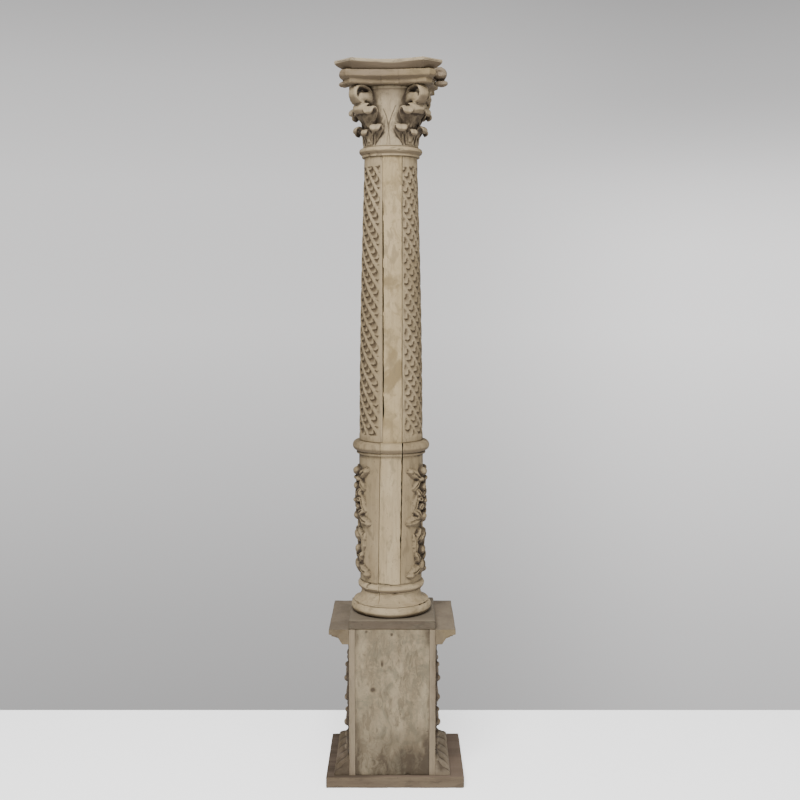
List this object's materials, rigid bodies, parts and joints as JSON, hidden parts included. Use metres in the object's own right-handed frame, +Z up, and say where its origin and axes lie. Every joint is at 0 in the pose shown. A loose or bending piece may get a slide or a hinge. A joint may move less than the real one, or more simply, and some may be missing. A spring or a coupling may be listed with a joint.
{
  "type": "carved wooden column",
  "caption": "Free-standing carved wooden column on a box pedestal, with a leaf capital, a tapering shaft and a plain rear.",
  "frame": {"origin": "middle of the box round the whole object, on its underside", "axes": "+Z up along the shaft; the plain rear looks along -Y; +X is to the right when the plain rear is seen"},
  "size_m": [0.463, 0.4032, 2.3903],
  "materials": {
    "base_board": "bare sawn board, worn brown-grey wood",
    "rear_panel": "limewashed plain panel with grey stains",
    "side_board_left": "carved wood, limewashed and dirty in the hollows",
    "side_board_right": "carved wood, limewashed and dirty in the hollows",
    "face_board": "carved wood, limewashed and dirty in the hollows",
    "foot_moulding_left": "carved leaf moulding in worn brown-grey wood",
    "foot_moulding_right": "carved leaf moulding in worn brown-grey wood",
    "foot_moulding_face": "carved leaf moulding in worn brown-grey wood",
    "cap_moulding_left": "worn moulding with yellowed, chipped ends",
    "cap_moulding_right": "worn moulding with yellowed, chipped ends",
    "cap_moulding_face": "worn moulding",
    "plinth": "limewashed slab with dark wear at its edge",
    "turned_base": "turned wood, limewashed",
    "drum": "carved wood, limewashed, shaded in the hollows",
    "drum_stave": "plain limewashed stave",
    "shaft": "scale-carved wood, limewashed, dark in the hollows",
    "shaft_stave": "plain limewashed stave with faint stains",
    "neck_ring": "turned wood, limewashed",
    "capital": "carved wood, limewashed, dark under the leaves",
    "abacus_lower_plate": "limewashed moulded plate",
    "abacus_top_plate": "limewashed moulded plate"
  },
  "bodies": {
    "root": {"base_board": "base_board", "rear_panel": "rear_panel", "side_board_left": "side_board_left", "side_board_right": "side_board_right", "face_board": "face_board", "foot_moulding_left": "foot_moulding_left", "foot_moulding_right": "foot_moulding_right", "foot_moulding_face": "foot_moulding_face", "cap_moulding_left": "cap_moulding_left", "cap_moulding_right": "cap_moulding_right", "cap_moulding_face": "cap_moulding_face", "plinth": "plinth", "turned_base": "turned_base", "drum": "drum", "drum_stave": "drum_stave", "shaft": "shaft", "shaft_stave": "shaft_stave", "neck_ring": "neck_ring", "capital": "capital", "abacus_lower_plate": "abacus_lower_plate", "abacus_top_plate": "abacus_top_plate"}
  },
  "joints": []
}
